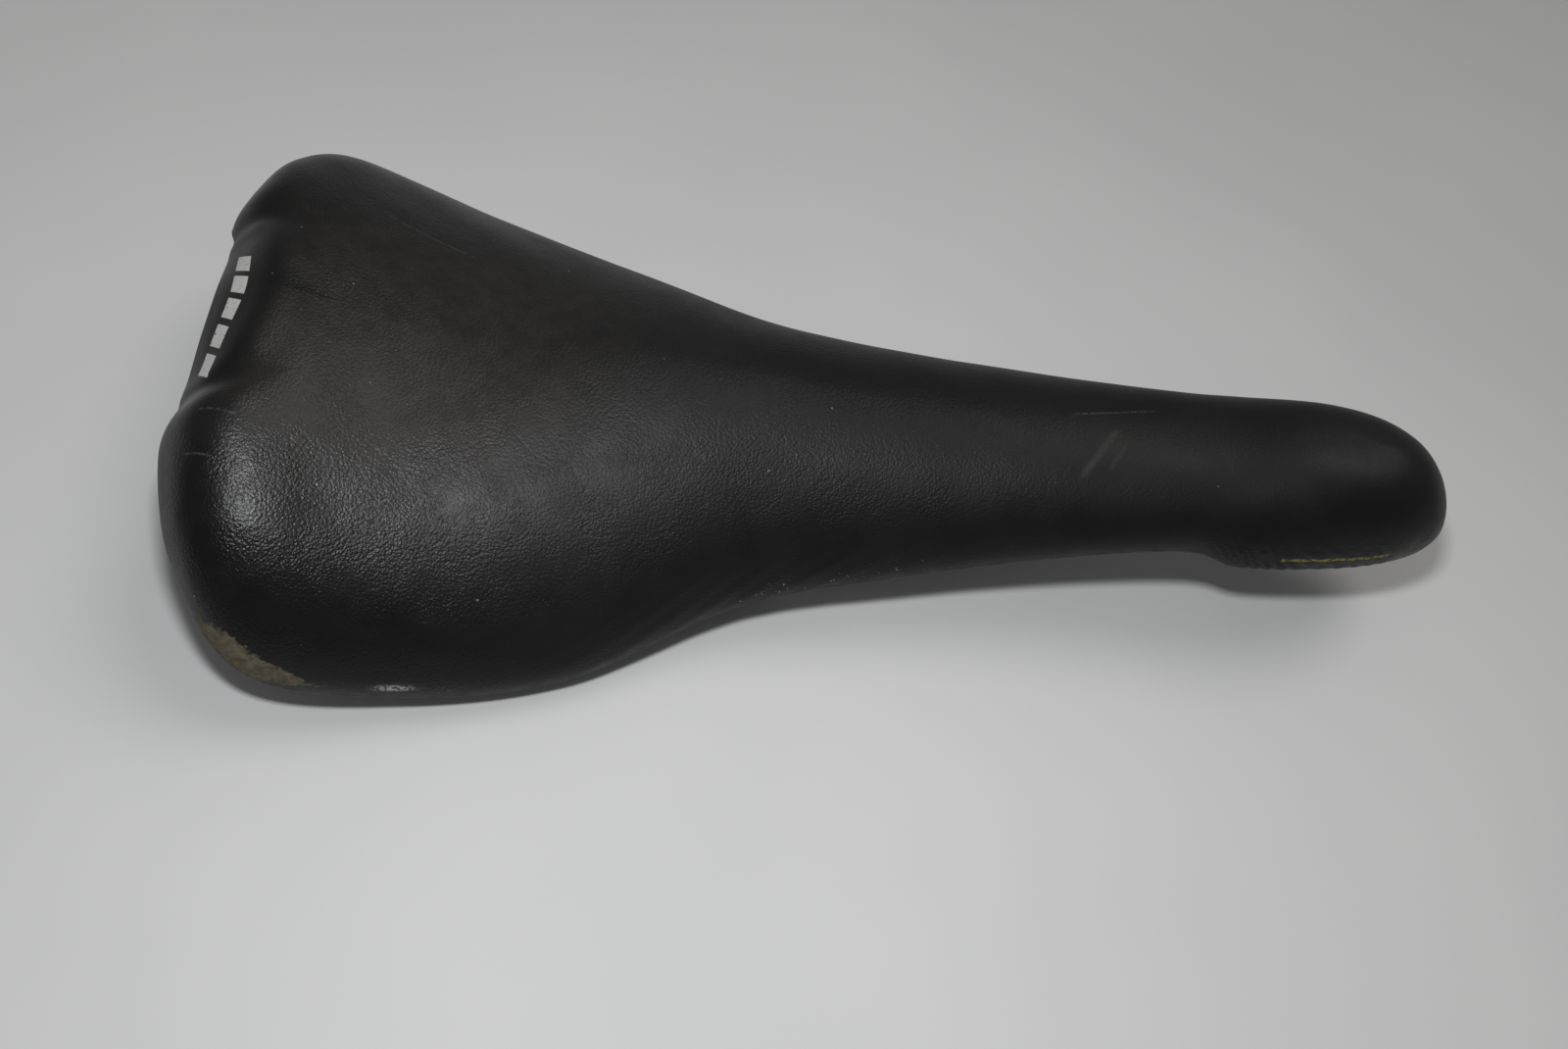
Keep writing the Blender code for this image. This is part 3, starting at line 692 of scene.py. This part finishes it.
    # colour
    black = n.mix(n.fit(n.noise(85.0, 3.0), 0.3, 0.7), BLACK_LOW, BLACK_HIGH)
    # dust film with a painted sheen on the rear crown
    dust_and_sheen_film = n.times(dust_and_sheen, n.fit(n.noise(240.0, 4.0, 0.6), 0.25, 0.75, 0.55, 1.0),
                   n.fit(coarse, 0.15, 0.6, 0.75, 1.15))
    colour = n.mix(n.times(dust_and_sheen_film, DUST_AND_SHEEN_SHARE), black, DUST_AND_SHEEN)
    colour = n.mix(n.times(apron, 0.6), colour, APRON_BLACK)
    # the lighter rim is rub wear and a painted rim highlight
    colour = n.mix(n.times(edge_rub_and_highlight, 0.3), colour, RUBBED_AND_HIGHLIT_EDGE)
    colour = n.mix(n.times(tip, 0.5), colour, RUBBED_TIP)
    colour = n.mix(n.times(streaks, 0.30), colour, RUBBED_STREAK)
    colour = n.mix(n.times(thin, 0.28), colour, SCRATCH)
    colour = n.mix(specks, colour, SPECK)
    raw = n.mix(n.fit(n.noise(600.0, 4.0, 0.6), 0.3, 0.7), RAW_DARK, RAW_LIGHT)
    colour = n.mix(scuff, colour, raw)
    colour = n.mix(n.times(pin, 0.7), colour, LINT)
    # light flecks of print, and the painted highlight dashes on the near rim
    colour = n.mix(n.math("MAXIMUM", flecks, glint_dashes), colour, PRINT_FLECK_AND_GLINT)
    colour = n.mix(white, colour, PRINT_WHITE)
    colour = n.mix(yellow, colour, PRINT_YELLOW)
    colour = n.mix(n.mask("inside"), colour, FLESH_SIDE)

    rough = n.fit(n.noise(150.0, 3.0, 0.6), 0.3, 0.7, ROUGH_LOW, ROUGH_HIGH, smooth=False)
    rough = n.plus(rough, n.times(n.mask("gloss"), -0.15), n.times(dust_and_sheen_film, 0.05), n.times(apron, -0.05),
                   n.times(scuff, 0.38), n.times(specks, 0.25), n.times(edge_rub_and_highlight, 0.12),
                   n.times(n.mask("inside"), 0.4), n.times(streaks, 0.1))
    normal = n.bump(broad, BROAD_BUMP)
    normal = n.bump(fold_height, FOLD_BUMP, 1.0, normal)
    normal = n.bump(n.times(crease, -1.0), CREASE_BUMP, 1.0, normal)
    normal = n.bump(grain_height, GRAIN_BUMP, 1.0, normal)
    raw_height = n.times(scuff, n.plus(n.noise(1900.0, 4.0, 0.7), -0.5))
    normal = n.bump(raw_height, RAW_BUMP, 1.0, normal)
    n.set(Base_Color=colour, Roughness=rough, Normal=normal, Specular_IOR_Level=SPECULAR)
    return n.material


finish_piece(cover, leather_material(), "leather", "Cover")

# ---------------------------------------------------------------- foam under the leather


def foam_material():
    n = Nodes("Open-cell foam")
    cells = n.cells(1400.0, "F1", at=n.warped(500.0, 0.0004))
    tone = n.mix(n.fit(n.noise(90.0, 3.0), 0.3, 0.7), (0.42, 0.33, 0.19), (0.55, 0.46, 0.30))
    # the dark pore centres are painted shade inside the open cells
    colour = n.mix(n.fit(cells, 0.1, 0.55), (0.20, 0.15, 0.08), tone)
    n.set(Base_Color=colour, Roughness=0.95, Normal=n.bump(cells, 0.0004, 1.0))
    return n.material


def foam_half(side):
    crown = slice(0, HEM_START + 1)
    top = LEATHER + GAP + 0.05 + 0 * FOAM_THICK
    low = LEATHER + GAP + np.maximum(FOAM_THICK - 0.15, 0.5)
    low = low - 0.12 * (1 + np.sin(X / 4.0 + side) * np.sin(Y / 5.0)) * (FOAM_THICK > 1.5)
    return np.concatenate([layer(top, crown), layer(low, slice(HEM_START, None, -1))], axis=1)


foam = ring_mesh("Foam_core", whole(foam_half(1), mirrored(foam_half(-1))))
finish_piece(foam, foam_material(), "foam", "Foam_pad")

# ---------------------------------------------------------------- rails

RAIL_RADIUS = 3.43
RAIL_CAD_RADIUS = 3.5
RAIL_Z = -RIDGE_HEIGHT + RAIL_CAD_RADIUS * math.cos(math.pi / 16)
RAIL_POINTS = [(31, 37, -16), (78, 22, RAIL_Z), (138, 22, RAIL_Z),
               (232, 6.2, -18.5), (257, 5.2, -15.5)]
RAIL_BENDS = [22, 30, 24]


def filleted(points, bends, spacing):
    """A path of straight runs joined by arcs."""
    points = [np.array(p, float) for p in points]
    path = [points[0]]
    for before, corner, after, bend in zip(points, points[1:], points[2:], bends):
        a = (before - corner) / np.linalg.norm(before - corner)
        b = (after - corner) / np.linalg.norm(after - corner)
        half = math.acos(float(np.clip(a @ b, -1, 1))) / 2
        reach = bend / math.tan(half)
        centre = corner + (a + b) / np.linalg.norm(a + b) * bend / math.sin(half)
        first = corner + a * reach - centre
        last = corner + b * reach - centre
        sweep = math.pi - 2 * half
        steps = max(4, int(bend * sweep / spacing))
        start = path[-1]
        straight = centre + first - start
        pieces = max(2, int(np.linalg.norm(straight) / 4.0))
        for i in range(1, pieces):
            path.append(start + straight * i / pieces)
        for i in range(steps + 1):
            u = sweep * i / steps
            path.append(centre + (first * math.sin(sweep - u) + last * math.sin(u)) / math.sin(sweep))
    path.append(points[-1])
    return np.array(path)


def tube(name, path, radii, sides=48, ends=0.5):
    """A round rod along a path, its ends chamfered."""
    path = np.asarray(path, float)
    ahead = np.gradient(path, axis=0)
    ahead /= np.linalg.norm(ahead, axis=1, keepdims=True)
    first, last = path[:1] + ahead[:1] * ends, path[-1:] - ahead[-1:] * ends
    path = np.concatenate([path[:1], first, path[1:-1], last, path[-1:]])
    ahead = np.concatenate([ahead[:1], ahead[:1], ahead[1:-1], ahead[-1:], ahead[-1:]])
    radii = np.full(len(path), float(radii))
    radii[0] -= ends
    radii[-1] -= ends
    side = np.cross(ahead, (0.02, 0.03, 1.0))
    side /= np.linalg.norm(side, axis=1, keepdims=True)
    upward = np.cross(side, ahead)
    angles = np.arange(sides) * 2 * math.pi / sides
    round_way = (np.cos(angles)[None, :, None] * side[:, None]
                 + np.sin(angles)[None, :, None] * upward[:, None])
    rings = path[:, None] + radii[:, None, None] * round_way
    count = len(path)
    faces = []
    for i in range(count - 1):
        for j in range(sides):
            k = (j + 1) % sides
            faces.append((i * sides + j, i * sides + k, (i + 1) * sides + k, (i + 1) * sides + j))
    faces.append(tuple(range(sides))[::-1])
    faces.append(tuple(range((count - 1) * sides, count * sides)))
    mesh = bpy.data.meshes.new(name)
    mesh.from_pydata(place(rings.reshape(-1, 3)).tolist(), [], faces)
    smooth = [True] * (len(faces) - 2) + [False, False]
    mesh.polygons.foreach_set("use_smooth", smooth)
    mesh.update()
    return link(name, mesh)


def rail_material():
    n = Nodes("Satin steel rail")
    brushed = n.noise(1.0, 4.0, 0.6, at=n.stretched((90.0, 4200.0, 4200.0)))
    blotch = n.noise(110.0, 4.0, 0.6)
    split = n.add("ShaderNodeSeparateXYZ", {"Vector": n.place})
    clamp = n.band(split.outputs["X"], -0.062, -0.006, 0.002)
    bites = n.noise(1.0, 2.0, 0.7, at=n.stretched((2300.0, 160.0, 160.0)))
    marks = n.times(clamp, n.fit(bites, 0.55, 0.66))
    rub = n.times(clamp, n.fit(n.noise(380.0, 4.0, 0.7), 0.45, 0.7))
    tone = n.mix(n.fit(brushed, 0.3, 0.7), (0.40, 0.40, 0.41), (0.54, 0.54, 0.54))
    tone = n.mix(n.times(n.fit(blotch, 0.5, 0.8), 0.4), tone, (0.24, 0.22, 0.20))
    tone = n.mix(n.times(marks, 0.7), tone, (0.13, 0.125, 0.12))
    tone = n.mix(n.times(rub, 0.4), tone, (0.62, 0.62, 0.62))
    rough = n.plus(n.fit(brushed, 0.3, 0.7, 0.26, 0.38), n.times(marks, 0.2), n.times(rub, 0.1))
    normal = n.bump(brushed, 0.00003)
    normal = n.bump(n.times(marks, -1.0), 0.00008, 1.0, normal)
    n.set(Base_Color=tone, Metallic=1.0, Roughness=rough, Normal=normal)
    return n.material


STEEL = rail_material()
for label, sign in (("left", 1), ("right", -1)):
    path = filleted([(x, y * sign, z) for x, y, z in RAIL_POINTS], RAIL_BENDS, 1.2)
    finish_piece(tube("Round_rail_" + label, path, RAIL_RADIUS), STEEL, "rail_metal", "Rail_" + label)

# ---------------------------------------------------------------- moulded nylon and small metal


def nylon_material():
    n = Nodes("Moulded nylon")
    spark = n.noise(2600.0, 3.0, 0.65)
    flow = n.noise(1.0, 3.0, 0.5, at=n.stretched((28.0, 120.0, 120.0), (0.0, 0.0, 0.2)))
    drag = n.stretched((90.0, 900.0, 500.0), (0.0, 0.0, 0.9))
    scuffs = n.fit(n.noise(1.0, 5.0, 0.7, at=drag), 0.62, 0.74)
    tone = n.mix(n.fit(flow, 0.3, 0.7), (0.011, 0.011, 0.012), (0.020, 0.020, 0.021))
    dusty = n.fit(n.noise(160.0, 5.0, 0.6), 0.5, 0.8)
    tone = n.mix(n.times(dusty, 0.35), tone, (0.055, 0.050, 0.045))
    tone = n.mix(n.times(scuffs, 0.35), tone, (0.085, 0.083, 0.080))
    rough = n.plus(n.fit(flow, 0.3, 0.7, 0.42, 0.54), n.times(scuffs, 0.15), n.times(dusty, 0.1))
    normal = n.bump(spark, 0.00007)
    normal = n.bump(flow, 0.0003, 1.0, normal)
    n.set(Base_Color=tone, Roughness=rough, Normal=normal)
    return n.material


def small_metal(name, light, dark, rust, rough_low, rough_high):
    n = Nodes(name)
    grit = n.noise(1900.0, 4.0, 0.65)
    stain = n.fit(n.noise(650.0, 5.0, 0.7), 0.52, 0.72)
    tone = n.mix(n.fit(grit, 0.3, 0.7), dark, light)
    tone = n.mix(n.times(stain, 0.6), tone, rust)
    rough = n.plus(n.fit(grit, 0.3, 0.7, rough_low, rough_high), n.times(stain, 0.25))
    n.set(Base_Color=tone, Metallic=0.95, Roughness=rough, Normal=n.bump(grit, 0.00003))
    return n.material


NYLON = nylon_material()
ZINC = small_metal(
    "Zinc plate", (0.56, 0.56, 0.54), (0.40, 0.40, 0.39), (0.18, 0.14, 0.09), 0.30, 0.45)
BLACKED = small_metal(
    "Blacked steel", (0.11, 0.11, 0.12), (0.055, 0.055, 0.06), (0.14, 0.08, 0.04), 0.28, 0.42)
WIRE = small_metal(
    "Staple wire", (0.50, 0.50, 0.50), (0.33, 0.33, 0.32), (0.22, 0.12, 0.06), 0.30, 0.45)

KEPT_NODES = {"Shell": NYLON, "Nose_block": NYLON, "Rear_socket": NYLON, "Washer": ZINC, "Screw": BLACKED}
for name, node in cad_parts.items():
    for start, made in KEPT_NODES.items():
        if name.startswith(start):
            node.data.materials.clear()
            node.data.materials.append(made)

# staples: bent wire in place of the CAD's flat bars
STAPLE_LENGTH = 7.0
STAPLE_WIRE = 0.27
STAPLE_BEND = 0.7
STAPLE_LEG = 1.6


def staple(name, node):
    """A staple where the CAD has its bar: rounded shoulders, and legs that go up into the hem."""
    mesh = node.data
    points = np.array([v.co[:] for v in mesh.vertices]) * 1000
    middle = points.mean(0)
    _, vectors = np.linalg.eigh(np.cov((points - middle).T))
    along = vectors[:, 2]
    inner = vectors[:, 0] * np.sign(-vectors[2, 0] or 1.0)
    reach = STAPLE_LENGTH / 2 - STAPLE_WIRE
    bend = STAPLE_BEND
    path = []
    for side in (-1, 1):
        arc = []
        for i in range(6):
            u = math.pi / 2 * i / 5
            over = along * side * (reach - bend + bend * math.sin(u))
            arc.append(over - inner * (bend - bend * math.cos(u)))
        arc.append(along * side * reach - inner * STAPLE_LEG)
        path += arc[::-1] if side < 0 else arc
    shifted = middle + np.array(path) + (MIDDLE_X, 0.0, -RIDGE_HEIGHT)
    return tube(name, shifted, STAPLE_WIRE, sides=12, ends=0.05)


for name in sorted(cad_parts):
    if name.startswith("Hem_staple"):
        piece = staple("Wire_" + name[4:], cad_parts[name])
        finish_piece(piece, WIRE, "staple_wire", name)

# ---------------------------------------------------------------- floor and light

TABLE_HALF = 9.0
TABLE_TONES = ((0.56, 0.563, 0.56), (0.59, 0.592, 0.587))
FLASH_ABOVE_LENS = 0.085
FLASH_SIZE = (0.045, 0.03)
FLASH_POWER = 0.90
FLASH_COLOUR = (0.97, 0.985, 1.0)
OVERHEAD_FROM = (0.40, 0.28, 0.87)
OVERHEAD_STRENGTH = 0.68
OVERHEAD_SPREAD = math.radians(30)
OVERHEAD_COLOUR = (1.0, 0.975, 0.945)
ROOM_LIGHT = 0.19


def table_top():
    mesh = bpy.data.meshes.new("Table")
    a = TABLE_HALF
    mesh.from_pydata([(-a, -a, 0), (a, -a, 0), (a, a, 0), (-a, a, 0)], [], [(0, 1, 2, 3)])
    n = Nodes("Pale table")
    tone = n.mix(n.fit(n.noise(9.0, 3.0), 0.3, 0.7), *TABLE_TONES)
    n.set(Base_Color=tone, Roughness=0.55)
    mesh.materials.append(n.material)
    link("Table", mesh)


def flash_light():
    """A small hard light just above the lens, pointing the camera's way."""
    data = bpy.data.lights.new("Flash", "AREA")
    data.shape = "RECTANGLE"
    data.size, data.size_y = FLASH_SIZE
    data.energy = FLASH_POWER
    data.color = FLASH_COLOUR
    obj = link("Flash", data)
    obj.location = Vector(CAMERA_AT + CAMERA_UP * FLASH_ABOVE_LENS)
    obj.rotation_euler = Vector(-CAMERA_BACK).to_track_quat("-Z", "Y").to_euler()


def overhead_light():
    """The room's own soft light, from above on the nose's side and the rider's left."""
    data = bpy.data.lights.new("Overhead", "SUN")
    data.energy = OVERHEAD_STRENGTH
    data.angle = OVERHEAD_SPREAD
    data.color = OVERHEAD_COLOUR
    obj = link("Overhead", data)
    obj.rotation_euler = Vector(OVERHEAD_FROM).to_track_quat("Z", "Y").to_euler()


def room_light():
    world = bpy.data.worlds.new("Studio")
    bpy.context.scene.world = world
    world.use_nodes = True
    background = world.node_tree.nodes["Background"]
    background.inputs["Color"].default_value = (1.0, 1.0, 1.0, 1)
    background.inputs["Strength"].default_value = ROOM_LIGHT


table_top()
flash_light()
overhead_light()
room_light()
bpy.context.scene.view_settings.view_transform = "Standard"
